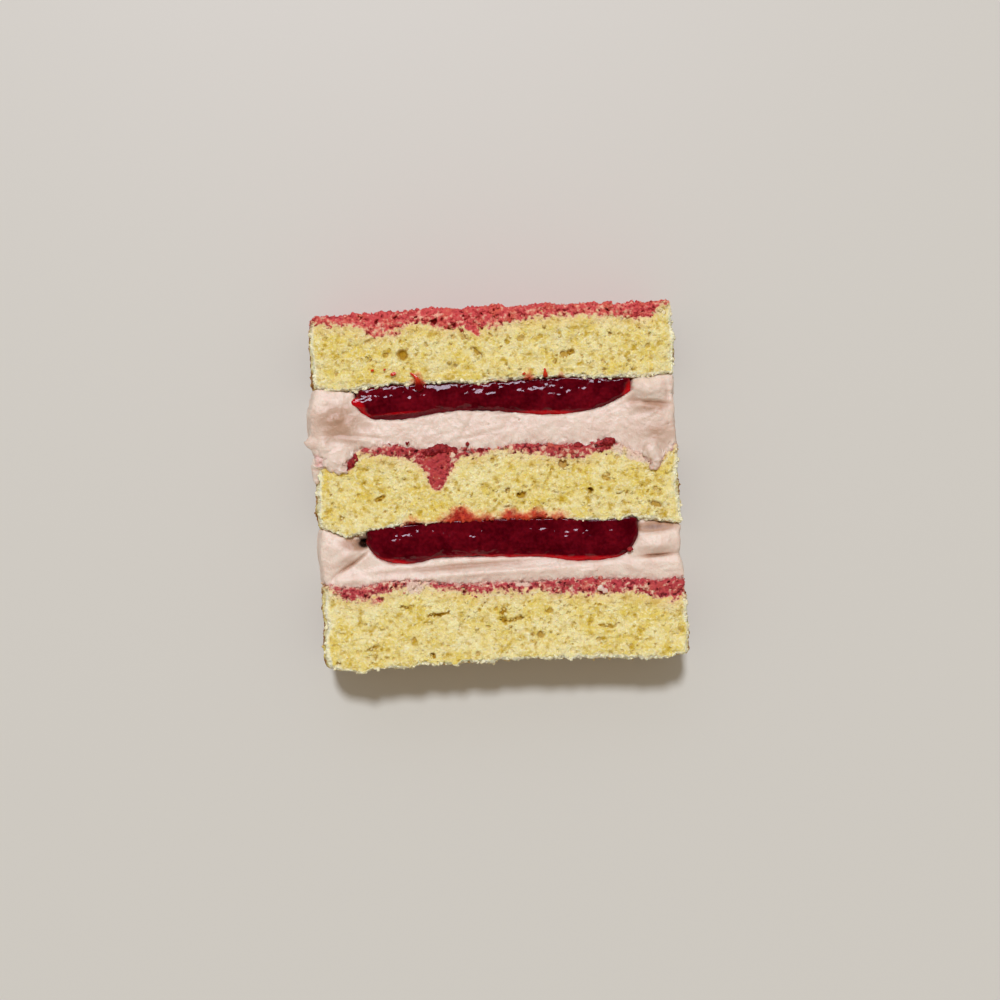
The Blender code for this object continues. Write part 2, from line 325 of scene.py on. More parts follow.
class Finish(Graph):
    """A material around one Principled shader."""

    def __init__(self, name, roughness, **fixed):
        self.material = bpy.data.materials.new(name)
        self.material.use_nodes = True
        super().__init__(self.material.node_tree)
        self.shader = self.tree.nodes["Principled BSDF"]
        self.shader.inputs["Roughness"].default_value = roughness
        for socket, value in fixed.items():
            self.shader.inputs[socket.replace("_", " ")].default_value = value
        self.place = self.add("ShaderNodeTexCoord", None, None, "Object") * (1 / MM)
        self.x, self.y, self.z = self.split(self.place)

    def stored(self, name):
        """A value that the relief stored on the piece."""
        return self.add("ShaderNodeAttribute", {"attribute_name": name}, None, "Fac")

    def mix(self, share, first, second):
        """A colour between two others."""
        inputs = {0: share, 6: first, 7: second}
        return self.add("ShaderNodeMix", {"data_type": "RGBA"}, inputs, 2)

    def fade(self, value, start, end, first, second):
        """One colour up to start and another from end on, mixed between them."""
        return self.mix(self.ease(value, start, end), first, second)

    def paint(self, colour):
        """Sets what colour the surface has."""
        self.tree.links.new(colour.socket, self.shader.inputs["Base Color"])

    def bump(self, height, strength, depth):
        """Fine relief of so many millimetres that only the light sees."""
        inputs = {"Height": height, "Strength": strength, "Distance": depth * MM}
        bump = self.add("ShaderNodeBump", None, inputs)
        self.tree.links.new(bump.socket, self.shader.inputs["Normal"])


def rgb(red, green, blue):
    """A colour given as it looks on a screen, from 0 to 255, as the light it stands for."""
    parts = [c / 255 for c in (red, green, blue)]
    light = [c / 12.92 if c <= 0.04045 else ((c + 0.055) / 1.055) ** 2.4 for c in parts]
    return (*light, 1.0)


def select_only(piece):
    """Makes a piece the only one that the next operators work on."""
    bpy.ops.object.select_all(action="DESELECT")
    piece.select_set(True)
    bpy.context.view_layer.objects.active = piece


def apply_modifiers(piece):
    """Turns what the modifiers make into the piece's own mesh."""
    select_only(piece)
    for modifier in list(piece.modifiers):
        bpy.ops.object.modifier_apply(modifier=modifier.name)


def copy_of(node, name):
    """A piece with the merged mesh of a solid."""
    piece = bpy.data.objects.new(name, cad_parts[node].data.copy())
    piece.data.materials.clear()
    bpy.context.scene.collection.objects.link(piece)
    select_only(piece)
    bpy.ops.object.mode_set(mode="EDIT")
    bpy.ops.mesh.select_all(action="SELECT")
    bpy.ops.mesh.remove_doubles(threshold=0.01 * MM)
    bpy.ops.object.mode_set(mode="OBJECT")
    return piece


def melt_in(piece, balls):
    """Joins balls to a piece, to be melted together when it is evened out.

    A ball is its place, its three radii and its turn. It starts as a round primitive.
    """
    made = []
    for place, radii, turn in balls:
        bpy.ops.object.select_all(action="DESELECT")
        bpy.ops.mesh.primitive_uv_sphere_add(
            segments=20, ring_count=12, radius=MM, location=[c * MM for c in place],
            rotation=(0, 0, math.radians(turn)), scale=radii,
        )
        bpy.ops.object.transform_apply(location=True, rotation=True, scale=True)
        made.append(bpy.context.object)
    select_only(piece)
    for ball in made:
        ball.select_set(True)
    bpy.ops.object.join()


def trail(points, radii, flatness=1.0):
    """Balls along a bent line, close enough to melt together."""
    balls = []
    for (start, end), (first, last) in zip(zip(points, points[1:]), zip(radii, radii[1:])):
        steps = max(2, math.ceil((Vector(end) - Vector(start)).length / (min(first, last) * 0.6)))
        for step in range(steps + 1):
            share = step / steps
            radius = first + (last - first) * share
            place = Vector(start).lerp(Vector(end), share)
            balls.append((tuple(place), (radius, radius, radius * flatness), 0.0))
    return balls


def even_out(piece, voxel, rounds):
    """Rebuilds the piece with even faces and soft edges."""
    remesh = piece.modifiers.new("remesh", "REMESH")
    remesh.mode = "VOXEL"
    remesh.voxel_size = voxel * MM
    soften(piece, rounds)


def soften(piece, rounds):
    """Smooths the piece so many times over."""
    smooth = piece.modifiers.new("smooth", "SMOOTH")
    smooth.factor = 0.5
    smooth.iterations = rounds
    apply_modifiers(piece)


def divide(piece, cuts, wanted):
    """Divides the faces that wanted(normal, centre in millimetres) picks."""
    select_only(piece)
    bpy.ops.object.mode_set(mode="EDIT")
    bpy.ops.mesh.select_mode(type="FACE")
    bpy.ops.mesh.select_all(action="DESELECT")
    bpy.ops.object.mode_set(mode="OBJECT")
    for face in piece.data.polygons:
        face.select = wanted(face.normal, face.center / MM)
    bpy.ops.object.mode_set(mode="EDIT")
    bpy.ops.mesh.subdivide(number_cuts=cuts)
    bpy.ops.object.mode_set(mode="OBJECT")


# How far the rim of the cut face reaches down and that of the ends in, and how far from the middle
# the cake's top and base begin
FACE_RIM = 2.2
END_RIM = 1.5
OUTER = 45.0


def on_cut_face(normal, centre):
    """The upper cut face and its rim."""
    return normal.z > 0.55 or (centre.z > FACE - FACE_RIM and normal.z > -0.2)


def on_end(normal, centre):
    """The two stretches of the cake's round side."""
    return abs(normal.x) > 0.5 or abs(centre.x) > HALF_WIDTH - END_RIM


def shows_at_side(normal, centre):
    """The ends of the slice, and the top and the bottom of the cake."""
    outer = abs(normal.y) > 0.5 and abs(centre.y) > OUTER and normal.y * centre.y > 0
    return not on_cut_face(normal, centre) and (outer or on_end(normal, centre))


def torn_crumb(relief, pores, marks):
    """The height of torn crumb over its smooth form, its pores, and its own lumps."""
    place = relief.place
    wandering = relief.drifts(place, PORE_DRIFT, place)
    hills = relief.noise(place, HILLS[0]) * HILLS[1]
    lumps = relief.noise(wandering, LUMPS[0], 3.0)
    fluff = relief.noise(place, FLUFF[0], 2.0) * FLUFF[1]
    pits = 0.0
    for size, share, depth, missing, wall in pores:
        nearest = relief.cells(wandering + size * 3.1, size)
        chance = relief.split(nearest.out("Color"))[0]
        radius = share * relief.ease(chance, missing, 1.0)
        pits = relief.ease(radius - nearest, 0.0, wall) * depth + pits
    x, y = relief.split(relief.drifts(place, MARK_DRIFT, place))[:2]
    up = relief.facing_up(0.3, 0.8)
    for centre, radii, turn, depth in marks:
        pits = up * relief.spot(x, y, centre, radii, turn) * depth + pits
    return hills + lumps * LUMPS[1] + fluff - pits, pits, lumps


def crumb_relief(piece, partner, side, jam, cream, marks):
    """Tears the surface of a sponge layer.

    First the side towards the layer's partner, the other half of the same sponge, is pushed
    into it, so that the two surfaces run on into each other. The depth that is stored is the
    distance into plain sponge, with side 1, or into soaked crumb, with side -1.
    """
    relief = Relief(piece.name)
    facing = relief.split(relief.normal)
    relief.store("left_side", facing[0] * -1.0)
    relief.store("right_side", facing[0])
    relief.store("up_cake", facing[1])
    beside = relief.ease(relief.distance(partner), 2.2, 0.8)
    relief.move(relief.join(0.0, beside * facing[1] * PARTNER_OVERLAP, 0.0))
    height, pits, rise = torn_crumb(relief, PORES if side > 0 else SOAK_PORES, marks)
    relief.store("pit", pits)
    relief.store("rise", rise)
    relief.store("depth", relief.distance(partner) * side)
    relief.store("near_jam", relief.distance(jam))
    relief.store("near_cream", relief.distance(cream) if cream else FAR_AWAY)
    loose = relief.drifts(relief.place, CRUMB_DRIFT)
    up = relief.facing_up(0.3, 0.8)
    relief.move(relief.normal * (height + CRUMB_SWELL) + loose * (1.0 - up * 0.75))
    relief.rest_on_floor()
    relief.apply_to(piece)


def crumb_piece(name, node, partner, side, jam, cream, voxel, marks=()):
    """A sponge or soaked layer, replacing its solid."""
    piece = copy_of(node, name)
    even_out(piece, voxel, 2)
    divide(piece, 3, on_cut_face)
    divide(piece, 1, shows_at_side)
    soften(piece, 2)
    crumb_relief(piece, partner, side, jam, cream, marks)
    return piece


def scatter_crumbs(name, pieces, seed):
    """Small crumbs that cling to the torn crumb, most of them along its edges."""
    grains = bpy.data.objects.new(name, bpy.data.meshes.new(name))
    bpy.context.scene.collection.objects.link(grains)
    relief = Relief(name)
    join = relief.tree.nodes.new("GeometryNodeJoinGeometry")
    for piece in pieces:
        info = relief.add("GeometryNodeObjectInfo", None, {"Object": piece}, "Geometry")
        relief.tree.links.new(info.socket, join.inputs[0])
    up = relief.facing_up(0.2, 0.7)
    rim = relief.ease(relief.z, FACE - 5.0, FACE - 1.0) * (1.0 - up)
    soaked = up * relief.ease(relief.stored("depth"), 0.4, -0.2)
    density = soaked * CRUMBS_ON_SOAK + rim * CRUMBS_ON_RIM + CRUMBS_ELSEWHERE
    skin = Value(relief, join.outputs[0])
    inputs = {"Mesh": skin, "Density": density * (1 / MM ** 2), "Seed": seed}
    points = relief.add("GeometryNodeDistributePointsOnFaces", None, inputs, "Points")
    ball = relief.add("GeometryNodeMeshIcoSphere", None, {"Radius": MM, "Subdivisions": 2}, "Mesh")
    inputs = {"Max": (FULL_TURN,) * 3, "Seed": seed}
    turn = relief.add("FunctionNodeRandomValue", {"data_type": "FLOAT_VECTOR"}, inputs)
    chance = relief.add("FunctionNodeRandomValue", {"data_type": "FLOAT"}, {"Seed": seed + 1}, 1)
    radius = CRUMB_RADII[0] + chance * chance * (CRUMB_RADII[1] - CRUMB_RADII[0])
    inputs = {"Points": points, "Instance": ball, "Rotation": turn, "Scale": radius}
    crumbs = relief.add("GeometryNodeInstanceOnPoints", None, inputs)
    relief.geometry = relief.add("GeometryNodeRealizeInstances", None, {0: crumbs})
    relief.store("pit", 0.1)
    relief.store("rise", relief.noise(relief.place, 1.0) * 0.8)
    relief.move(relief.drifts(relief.place, GRAIN_DRIFT))
    relief.rest_on_floor()
    relief.apply_to(grains)
    return grains


def dress(piece, node, material):
    """Gives a piece its finish and its place in the part."""
    piece.data.materials.clear()
    piece.data.materials.append(material)
    select_only(piece)
    bpy.ops.object.shade_smooth()
    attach(piece, "root")
    if node:
        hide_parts(node)


# Plain crumb: its pale and its yellow walls, its flecks, the deeper yellow of its hollows, partly
# painted shade, and the painted shade in its pores
WALLS = (rgb(241, 226, 167), rgb(229, 202, 90))
FLECK = rgb(250, 242, 205)
HOLLOW_YELLOW_AND_SHADE = rgb(198, 161, 38)
PORE_SHADE = rgb(186, 142, 36)


def sponge_colour(finish):
    """Pale yellow crumb: nearly white walls, deeper yellow hollows that are partly painted shade,
    blotches of either, and painted shade in the pores.
    """
    place = finish.place
    blotch = finish.noise(place, 3.6, 2.0) + finish.noise(place, 11.0) * 0.5
    flecks = finish.noise(place, 0.8, 2.0)
    walls = finish.fade(blotch, -0.6, 0.7, *WALLS)
    walls = finish.fade(flecks, -0.2, 0.9, walls, FLECK)
    # Deeper yellow where the lumps lie low, which is partly painted shade, and in random blotches
    hollow = finish.stored("rise") * 0.6 + finish.noise(place, 2.0, 3.0) * 1.1
    crumb = finish.fade(hollow, 0.0, -0.75, walls, HOLLOW_YELLOW_AND_SHADE)
    # Painted shade in the pores, darker the deeper a point lies in one
    return finish.fade(finish.stored("pit"), 0.25, 1.5, crumb, PORE_SHADE)


# Soaked crumb: its pink and its orange red, its dark red, which also is the painted shade in its
# pores, and its pale tips, how rare those are, and how much rarer where it is soaked deepest
SOAK_TONES = {
    "top": (rgb(216, 80, 82), rgb(227, 111, 79), rgb(136, 20, 24), rgb(243, 184, 160), -0.06, 0.4),
    "middle": (rgb(188, 62, 68), rgb(200, 94, 70), rgb(84, 8, 10), rgb(243, 214, 188), 0.04, 1.2),
    "bottom": (rgb(194, 68, 76), rgb(206, 104, 80), rgb(88, 8, 10), rgb(243, 214, 188), -0.02, 0.4),
}


def soaked_colour(finish, level, soaking):
    """Crumb full of raspberry, with painted shade in its pores."""
    pink, orange, dark_and_pore_shade, pale, rare, rarer = SOAK_TONES[level]
    place = finish.place
    red = finish.fade(finish.noise(place, 2.4, 2.0), -0.2, 1.0, pink, orange)
    tone = finish.stored("rise") * 0.6 + finish.noise(place, 1.2, 3.0) * 1.6
    deep = finish.ease(soaking, 2.0, 4.5)
    tips = tone - rare - deep * rarer
    red = finish.fade(tips, -0.1, 1.0, red, pale)
    red = finish.mix(finish.ease(tone, -0.1, -0.85) * (1.0 - deep * 0.45), red, dark_and_pore_shade)
    # Painted shade in the pores
    return finish.fade(finish.stored("pit"), 0.25, 0.9, red, dark_and_pore_shade)


# Painted light for the crumb at the rim of the cut, the light and the dark of the crust, and those of
# the base
PAINTED_RIM_LIGHT = rgb(255, 250, 222)
CRUST = (rgb(188, 138, 76), rgb(142, 84, 36))
BASE = (rgb(214, 172, 100), rgb(232, 205, 146))


def paint_rim_light(finish, crumb):
    """Painted light: the sides of the rim of the cut, which face sideways or away from the light, are
    painted paler where shade falls on them.
    """
    ends = finish.highest(finish.stored("left_side"), finish.stored("right_side"))
    edge = finish.highest(ends, finish.stored("up_cake") * -1.0)
    share = finish.ease(edge, 0.15, 0.7) * finish.ease(finish.z, FACE - 4.5, FACE - 1.5)
    return finish.mix(share * 0.8, crumb, PAINTED_RIM_LIGHT)


def browned(finish, crumb):
    """The baked outside of the sponge, on the cake's round side. Near the cut only spots are left."""
    patch = finish.noise(finish.place, 3.0, 2.0)
    side = finish.highest(finish.stored("left_side"), finish.stored("right_side") * 0.75)
    left = finish.ease(finish.z, FACE - 1.0, FACE - 9.0) * 1.4 - 0.8
    share = finish.ease(side, 0.2, 0.8) * finish.ease(left + patch * 0.9, -0.1, 0.3)
    return finish.mix(share, crumb, finish.fade(patch, -0.8, 0.8, *CRUST))


def floured_base(finish, crumb):
    """The pale gold skin on the bottom of the cake."""
    patch = finish.noise(finish.place, 5.0, 3.0)
    share = finish.ease(finish.stored("up_cake") * -1.0 + patch * 0.15, 0.55, 0.85)
    share = share * finish.ease(finish.z + patch, FACE - 1.5, FACE - 3.5)
    return finish.mix(share, crumb, finish.fade(patch, -0.8, 0.8, *BASE))


# How far raspberry reached past each stretch of a soaked layer, in millimetres: (x, reach)
WETNESS = {
    "top": [
        (-50, 0.2), (-40, 0.4), (-34, 1.4), (-28, 1.4), (-20, 0.4), (-10, 1.2), (0, 1.9), (8, 0.8),
        (22, 0.6), (38, 0.2), (45, 1.4), (48, -1.5),
    ],
    "middle": [
        (-50, -1.0), (-44, -2.0), (-39, -2.0), (-36, 0.2), (-28, 0.8), (-20, 1.8), (-14, 1.8),
        (-10, -0.6), (-6, 0.4), (0, -1.6), (4, -0.6), (10, 0.6), (26, 0.9), (30, -0.6), (35, -1.8),
        (50, -2.0),
    ],
    "bottom": [
        (-50, -1.6), (-46, 0.3), (-36, 0.8), (-30, -0.2), (-24, -1.4), (-18, -0.2), (-8, 0.3),
        (0, -1.2), (8, -1.0), (13, 1.2), (26, 0.6), (34, 0.2), (42, 1.0), (50, 1.4),
    ],
}

# Patches of raspberry beyond that: centre, radii, turn in degrees and how much further it reached
STAINS = {
    "top": [
        ((-33.0, 44.0), (1.6, 1.3), 0, 2.2),
        ((-27.0, 44.0), (2.0, 1.4), 20, 1.6),
        ((-4.5, 43.5), (3.0, 0.9), -50, 3.2),
    ],
    "middle": [
        ((-17.0, 5.0), (3.8, 4.4), 0, 6.5),
        ((-17.7, 0.4), (2.7, 3.0), 0, 6.5),
        ((-42.5, 8.0), (2.0, 2.6), 30, 4.5),
        ((30.0, 9.5), (2.4, 1.6), 0, 2.0),
    ],
    "bottom": [
        ((-36.0, -31.0), (3.5, 1.6), 10, 2.5),
        ((44.0, -31.5), (3.0, 1.6), 0, 2.0),
    ],
}

# Cream that was wiped over the crumb below it: centre, radii, turn in degrees and how far it got
SMEARED = {
    "middle": [
        ((36.0, 6.5), (7.0, 2.0), -15, 3.2),
        ((-31.0, 8.0), (4.0, 1.6), 0, 1.6),
        ((-22.5, 3.0), (1.6, 1.6), 0, 7.0),
        ((-50.5, 5.0), (1.8, 3.0), 0, 4.0),
    ],
    "bottom": [
        ((-25.0, -28.6), (3.6, 2.6), 0, 4.2),
        ((-20.5, -32.0), (5.0, 1.4), 8, 4.5),
        ((5.0, -28.0), (4.0, 1.2), -15, 2.6),
    ],
}

# Where jam soaked up into the crumb above it: centre and radii along x, and how far
BLEEDING = {
    "top": [(-21.5, 2.2, 2.8), (10.0, 1.8, 3.0), (19.0, 1.6, 2.4), (1.0, 2.4, 1.6)],
    "middle": [
        (-25.0, 3.5, 2.6), (-18.0, 3.0, 1.6), (-11.5, 4.5, 4.8), (-4.0, 3.0, 2.6), (3.0, 4.0, 3.4),
        (10.0, 3.5, 3.4), (17.0, 4.0, 3.0),
    ],
}

# Crumb that jam or cream crept into: orange where the jam is thin, dark and light red where it is
# thick, and the pale pink of cream
BLUSHING = rgb(234, 150, 104)
JAM_REDS = (rgb(150, 16, 16), rgb(216, 78, 46))
CREAMED = rgb(236, 206, 190)

# Crumb round a soaked layer: damp but not red yet, and the walls at its edge and the painted shade in
# the pores there
DAMP = rgb(236, 203, 150)
SOAK_EDGE_AND_PORE_SHADE = (rgb(238, 200, 158), rgb(148, 66, 28))


def along_x(finish, stops):
    """A value that changes from left to right through the given (x, value) stops."""
    ramp = [(0.5 + place / SPAN, 0.5 + value / REACHES) for place, value in stops]
    share = finish.add("ShaderNodeValToRGB", {"stops": ramp}, {0: finish.x / SPAN + 0.5}, "Color")
    return (finish.split(share)[0] - 0.5) * REACHES


def jam_soaked(finish, crumb, level):
    """Orange-red crumb where jam crept up into the sponge above it."""
    reach = 0.0
    for centre, radius, height in BLEEDING[level]:
        off = (finish.x - centre) / radius
        reach = height * finish.maths("POWER", math.exp(-1), off * off) + reach
    ragged = finish.noise(finish.place, 1.6, 3.0) * 1.3 - finish.stored("rise") * 0.8
    share = reach - finish.stored("near_jam") - ragged
    blush = finish.mix(finish.ease(share, -1.4, 0.6) * 0.85, crumb, BLUSHING)
    tone = finish.ease(finish.stored("rise") + finish.noise(finish.place, 0.9) * 0.5, -0.5, 0.6)
    return finish.fade(share, -0.4, 1.2, blush, finish.mix(tone, *JAM_REDS))


def creamed(finish, crumb, level):
    """Crumb with cream pressed into its upper edge."""
    shreds = finish.noise(finish.place, 2.2, 3.0) * 2.2 + finish.stored("rise") * 0.9
    reach = finish.bells(SMEARED[level]) + 1.0 + shreds
    share = finish.ease(reach - finish.stored("near_cream"), 0.1, 1.4)
    return finish.mix(share * 0.85, crumb, CREAMED)


def crumb_finish(name, level, softness):
    """Sponge and soaked crumb share one finish, so that the colour runs on across their seam."""
    finish = Finish(
        name, 0.85, Specular_IOR_Level=0.25,
        Subsurface_Weight=softness, Subsurface_Scale=0.002, Subsurface_Radius=(1.0, 0.75, 0.30),
    )
    place = finish.place
    wander = finish.noise(place, 3.0, 2.0) * 1.1 + finish.noise(place, 1.2, 2.0) * 1.8
    wander = wander - finish.stored("rise") * 0.6
    reach = along_x(finish, WETNESS[level]) + finish.bells(STAINS[level])
    soaking = reach - finish.stored("depth") - wander
    share = finish.ease(soaking, -1.3, 1.5)
    # Crumb colour, with painted light on the rim of the cut
    crumb = floured_base(finish, browned(finish, paint_rim_light(finish, sponge_colour(finish))))
    crumb = finish.mix(finish.ease(soaking, -4.5, -0.8) * 0.4, crumb, DAMP)
    if level in BLEEDING:
        crumb = jam_soaked(finish, crumb, level)
    # The edge of the soak: its wall colour, with painted shade in the pores
    edge_and_pore_shade = finish.fade(finish.stored("pit"), 0.1, 0.7, *SOAK_EDGE_AND_PORE_SHADE)
    blush = finish.fade(share, 0.0, 0.5, crumb, edge_and_pore_shade)
    red = soaked_colour(finish, level, soaking)
    crumb = finish.fade(share, 0.20, 0.90, blush, red)
    if level in SMEARED:
        crumb = creamed(finish, crumb, level)
    finish.paint(crumb)
    bubbles = finish.ease(finish.cells(place, 0.6), 0.15, 0.60)
    finish.bump(bubbles + finish.noise(place, 0.35, 1.0) * 0.4, 0.6, 0.2)
    return finish.material


def make_sponge(level, jam, cream, seed):
    """The plain and the soaked part of one sponge, and the crumbs on them."""
    sponge, soak = f"sponge_{level}", f"soaked_crumb_{level}"
    material = crumb_finish(f"{level}_crumb", level, 0.3)
    marks = SPONGE_MARKS[level]
    plain = crumb_piece(f"{level}_sponge", sponge, soak, 1, jam, cream, SPONGE_VOXEL, marks)
    dress(plain, sponge, material)
    soaked = crumb_piece(f"{level}_soak", soak, sponge, -1, jam, cream, SOAK_VOXEL)
    crisp = crumb_finish(f"{level}_crisp_crumb", level, 0.0)
    dress(soaked, soak, crisp)
    crumbs = scatter_crumbs(f"{level}_crumbs", (plain, soaked), seed)
    dress(crumbs, None, crisp)


# Smeared cream: the random steps that bend its smears, the size and height of its swells, the size
# along each way and the height of its streaks and its creases, and how it frays over the crumb
CREAM_SWIRL = ((7.0, 3.0),)
CREAM_SWELLS = (3.4, 0.46)
CREAM_STREAKS = ((4.5, 1.4, 3.0), 0.12)
CREAM_CREASES = ((9.0, 4.0, 7.0), 0.08)
CREAM_DRIFT = ((1.6, 0.95), (0.7, 0.45))
CREAM_SAG = (0.0, -0.8, 0.0)

# Air bubbles in the cream: how far apart, what share of that the largest fills, and its depth
CREAM_BUBBLES = (2.2, 0.16, 0.45)

# How much further out than its solid the skin of cream and jam lies
WET_SWELL = 0.25


def air_bubbles(relief):
    """How deep each point lies in one of the cream's small bubbles."""
    apart, largest, depth = CREAM_BUBBLES
    nearest = relief.cells(relief.place, apart)
    size = largest * relief.ease(relief.split(nearest.out("Color"))[0], 0.5, 1.0)
    return relief.ease(size - nearest, 0.0, 0.06) * depth


def cream_relief(piece, folds, jam, soak, rough):
    """Smears, folds and small air bubbles over the cream, deeper where it is rougher."""
    relief = Relief(piece.name)
    place = relief.place
    up = relief.facing_up(0.2, 0.8)
    swirling = relief.drifts(place, CREAM_SWIRL, place)
    streaks = relief.stretched_noise(swirling, CREAM_STREAKS[0], 1.0) * (CREAM_STREAKS[1] * rough)
    swells = relief.noise(swirling, CREAM_SWELLS[0], 1.5) * (CREAM_SWELLS[1] * rough)
    curl = relief.maths("ABSOLUTE", relief.stretched_noise(swirling, CREAM_CREASES[0], 0.0))
    creases = relief.ease(curl, 0.10, 0.0) * (CREAM_CREASES[1] * rough)
    torn = relief.ease(relief.distance(soak), 2.6, 0.5) * rough
    grain = relief.noise(place, 0.8, 3.0) * (torn * 0.3 + 0.15)
    bubbles = air_bubbles(relief)
    shape = relief.bells(folds)
    height = streaks + swells + grain - bubbles - creases
    # How deep a point lies in a bubble, crease or low swell, for the finish to paint shade by
    relief.store("hollow", bubbles + creases - up * shape * 0.6 - swells * 0.5 - streaks)
    relief.store("near_jam", relief.distance(jam))
    relief.store("near_soak", relief.distance(soak))
    frayed = (relief.drifts(place, CREAM_DRIFT) + CREAM_SAG) * torn
    relief.move(relief.normal * (height + WET_SWELL) + relief.join(0.0, 0.0, up * shape) + frayed)
    relief.rest_on_floor()
    relief.apply_to(piece)


# Painted shade and light on the cream, with a few patches of its own tan or paler white: darker where
# shade falls under the sponges, in folds and beside the hole, paler on ridges and a lobe that catch
# the light; centre, radii, turn and share
CREAM_SHADE_LIGHT_AND_TONES = [
    ((-44.5, 19.5), (8.0, 7.0), 0, 1.0),
    ((39.2, 22.2), (1.2, 2.2), -40, 0.6),
    ((-45.5, 9.5), (4.0, 3.5), 0, -1.0),
    ((-30.0, 11.5), (12.0, 2.0), 0, -0.6),
    ((43.0, 25.5), (4.0, 3.0), 0, -0.5),
    ((45.0, 20.0), (6.0, 2.0), 0, 0.9),
    ((45.0, 12.0), (8.0, 5.0), 0, 0.7),
    ((-12.0, -22.2), (24.0, 1.0), 2, 0.9),
    ((-12.0, -24.6), (34.0, 0.9), 1, -0.8),
    ((-45.5, -21.0), (4.0, 1.0), 33, 0.5),
    ((43.0, -13.9), (5.5, 1.3), 0, 2.4),
    ((-42.0, -14.6), (3.6, 1.6), -12, 1.8),
    ((43.5, -22.0), (5.0, 0.6), 2, 1.0),
]

# The deep hole under the middle sponge, beside the jam, where near-black shade is painted: centre and
# radii
AIR_HOLE = ((-39.2, -14.3), (1.6, 1.3))

# Cream: its palest and its pinkest, its tan with painted shade and its deep painted shade, the
# painted shade in its hollows, where it touches jam or soaked crumb, and the painted shade in the
# hole
CREAM = (rgb(241, 221, 208), rgb(229, 201, 187))
CREAM_TAN_AND_SHADE = rgb(192, 152, 128)
CREAM_SHADE = rgb(96, 62, 42)
CREAM_HOLLOW_SHADE = rgb(196, 156, 134)
CREAM_BY_JAM = rgb(222, 130, 130)
CREAM_BY_SOAK = rgb(216, 140, 142)
CREAM_HOLE_SHADE = rgb(52, 28, 18)


def cream_finish():
    """Pink-white cream with painted shade, tan to dark brown under the sponges, in its folds, hollows
    and the hole and paler on lit ridges, and pink beside the jam and the soaked crumb.
    """
    finish = Finish(
        "cream", 0.45,
        Subsurface_Weight=0.3, Subsurface_Scale=0.0015, Subsurface_Radius=(1.0, 0.6, 0.5),
    )
    place = finish.place
    cloud = finish.noise(place, 4.0, 3.0)
    cream = finish.fade(cloud, -0.8, 0.8, *CREAM)
    # Painted shade and light near the cut face: tan, then deep brown, with a little random tan
    tone = finish.bells(CREAM_SHADE_LIGHT_AND_TONES) * finish.ease(finish.z, FACE - 16.0, FACE - 6.0)
    cream = finish.fade(tone + cloud * 0.15, 0.1, 1.1, cream, CREAM_TAN_AND_SHADE)
    cream = finish.fade(tone, 1.2, 3.4, cream, CREAM_SHADE)
    # Painted shade in the bubbles, creases and low swells
    cream = finish.fade(finish.stored("hollow"), 0.0, 0.9, cream, CREAM_HOLLOW_SHADE)
    ragged = finish.noise(place, 1.5, 3.0) * 0.6
    by_jam = finish.ease(finish.stored("near_jam") + ragged, 0.9, -0.1)
    cream = finish.mix(by_jam * 0.8, cream, CREAM_BY_JAM)
    by_soak = finish.ease(finish.stored("near_soak") + ragged * 1.5, 1.3, 0.0)
    cream = finish.mix(by_soak * 0.7, cream, CREAM_BY_SOAK)
    # Painted near-black shade in the deep hole
    hole_shade = finish.spot(finish.x, finish.y, *AIR_HOLE)
    hole_shade = hole_shade * finish.ease(finish.z, FACE - 20.0, FACE - 14.0)
    finish.paint(finish.mix(hole_shade, cream, CREAM_HOLE_SHADE))
    finish.bump(finish.noise(place, 0.45, 3.0), 0.5, 0.15)
    return finish.material


# Folds of the cream: centre, radii, turn in degrees and height
UPPER_FOLDS = [
    ((-49.6, 22.9), (3.2, 2.6), 0, 0.9),
    ((-44.3, 21.0), (1.3, 1.0), 0, 0.8),
    ((-45.5, 24.5), (2.6, 1.2), 30, 0.5),
    ((-47.8, 17.8), (2.2, 1.2), 25, 0.5),
    ((-46.8, 20.4), (1.0, 0.8), 0, 0.6),
    ((-42.0, 23.9), (1.4, 0.8), 0, 0.5),
    ((-48.5, 12.9), (1.5, 1.0), 0, 0.5),
    ((-44.0, 13.3), (2.0, 0.8), -20, 0.4),
    ((-39.8, 12.3), (1.6, 0.7), 10, -0.4),
    ((-36.4, 18.4), (1.6, 0.9), 0, -0.4),
    ((-48.0, 25.6), (1.5, 0.7), 0, 0.5),
    ((-41.2, 18.8), (1.8, 1.1), -20, 0.5),
    ((-44.6, 16.6), (2.2, 0.6), 15, -0.3),
    ((-37.5, 15.6), (6.0, 0.5), -7, -0.6),
    ((-37.5, 14.6), (6.0, 0.7), -7, 0.5),
    ((42.8, 25.3), (4.2, 2.6), 0, 2.0),
    ((38.6, 22.6), (1.0, 2.4), -40, -0.8),
    ((43.5, 21.2), (5.4, 0.65), -8, -1.5),
    ((48.5, 22.5), (0.6, 2.5), 0, -0.6),
    ((38.0, 20.0), (5.0, 1.3), 20, 0.4),
    ((-5.0, 14.5), (9.0, 0.7), 12, -0.35),
    ((-8.5, 17.0), (5.0, 0.6), 60, -0.35),
]
LOWER_FOLDS = [
    ((-43.0, -20.2), (6.0, 0.5), 33, -1.4),
    ((-44.5, -18.0), (5.5, 1.3), 33, 0.7),
    ((-38.0, -23.0), (8.0, 1.2), 14, 0.5),
    ((43.5, -22.0), (5.0, 0.5), 2, -1.4),
    ((43.5, -19.3), (5.0, 1.5), 2, 0.7),
    ((43.0, -15.6), (5.0, 0.5), 5, -0.4),
    (*AIR_HOLE, 0, -4.5),
    ((-12.0, -22.4), (26.0, 0.9), 2, -0.6),
    ((-10.0, -24.4), (34.0, 0.8), 1, 0.55),
    ((36.0, -24.5), (3.0, 0.8), -20, 0.5),
]


